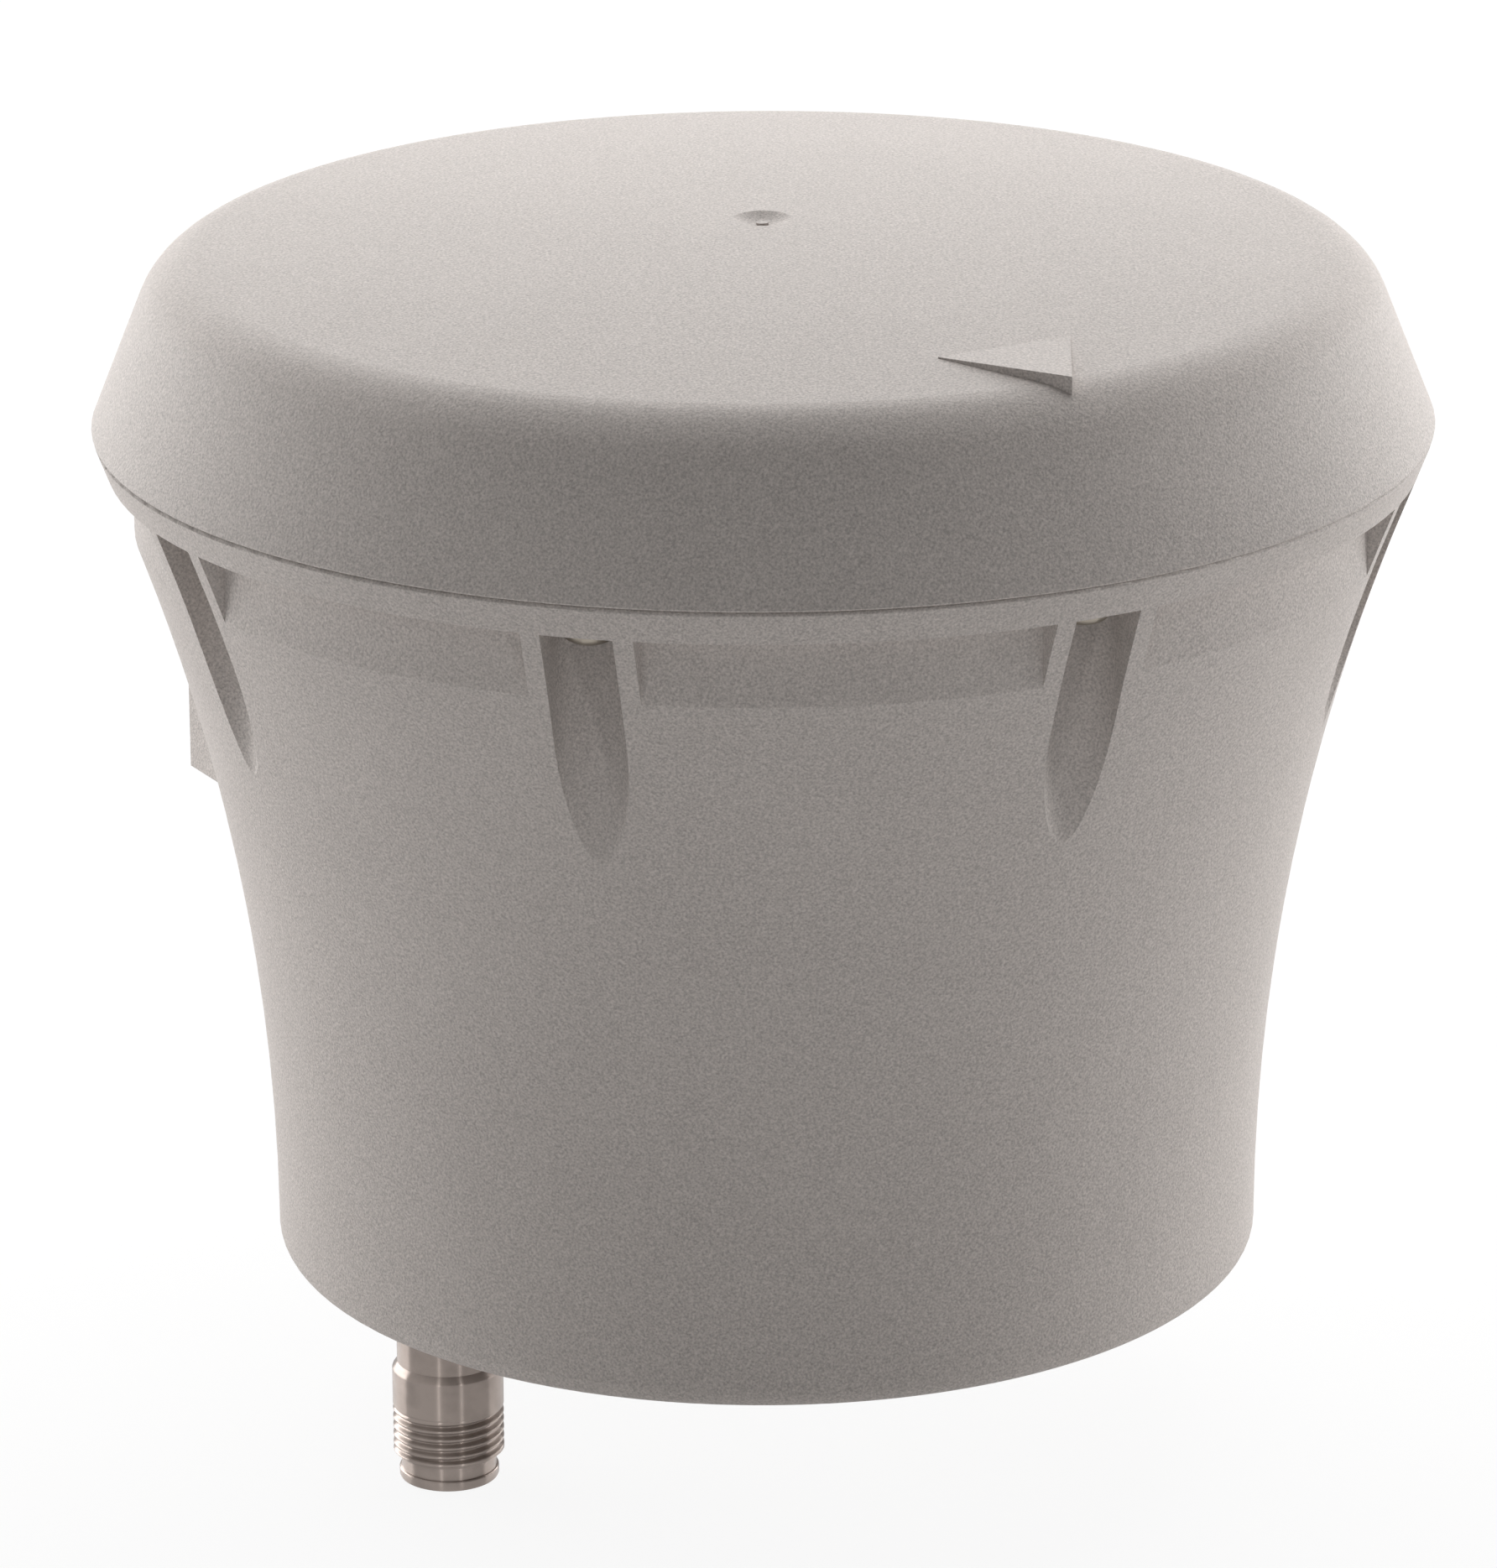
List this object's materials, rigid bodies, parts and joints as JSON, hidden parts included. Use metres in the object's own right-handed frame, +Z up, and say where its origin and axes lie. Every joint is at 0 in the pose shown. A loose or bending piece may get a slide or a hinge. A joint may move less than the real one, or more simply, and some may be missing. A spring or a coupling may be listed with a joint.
{
  "type": "directional antenna",
  "caption": "Round directional antenna with a flared moulded housing, domed radome lid with direction arrow, rear mounting block and threaded coaxial connector below the base.",
  "frame": {"origin": "middle of the flat base face", "axes": "+Z up the antenna's axis towards the radome, -Y the way the arrow points, +Y towards the rear mounting block, connector at -X"},
  "size_m": [0.1318, 0.1361, 0.1251],
  "materials": {
    "housing": "fine textured moulded plastic",
    "lid": "fine textured moulded plastic",
    "gasket": "matte",
    "screws": "satin",
    "inserts": "satin",
    "cup": "satin",
    "board": "glossy solder mask",
    "can": "tinned",
    "post": "satin",
    "discs": "satin",
    "spacers": "matte",
    "connector": "nickel plated",
    "insulator": "matte",
    "contact": "gold plated"
  },
  "bodies": {
    "root": {"housing_body": "housing", "radome_lid": "lid", "lid_gasket": "gasket", "lid_screws": "screws", "lid_inserts": "inserts", "mount_inserts": "inserts", "reflector_cup": "cup", "feed_board": "board", "board_shield": "can", "cup_screws": "screws", "cup_inserts": "inserts", "centre_post": "post", "driven_disc": "discs", "lower_director": "discs", "upper_director": "discs", "disc_spacers": "spacers", "disc_nut": "post", "feed_pins": "post", "feed_bushes": "spacers", "connector_shell": "connector", "connector_seal": "gasket", "connector_washer": "connector", "connector_nut": "connector", "connector_insulator": "insulator", "connector_contact": "contact"}
  },
  "joints": []
}
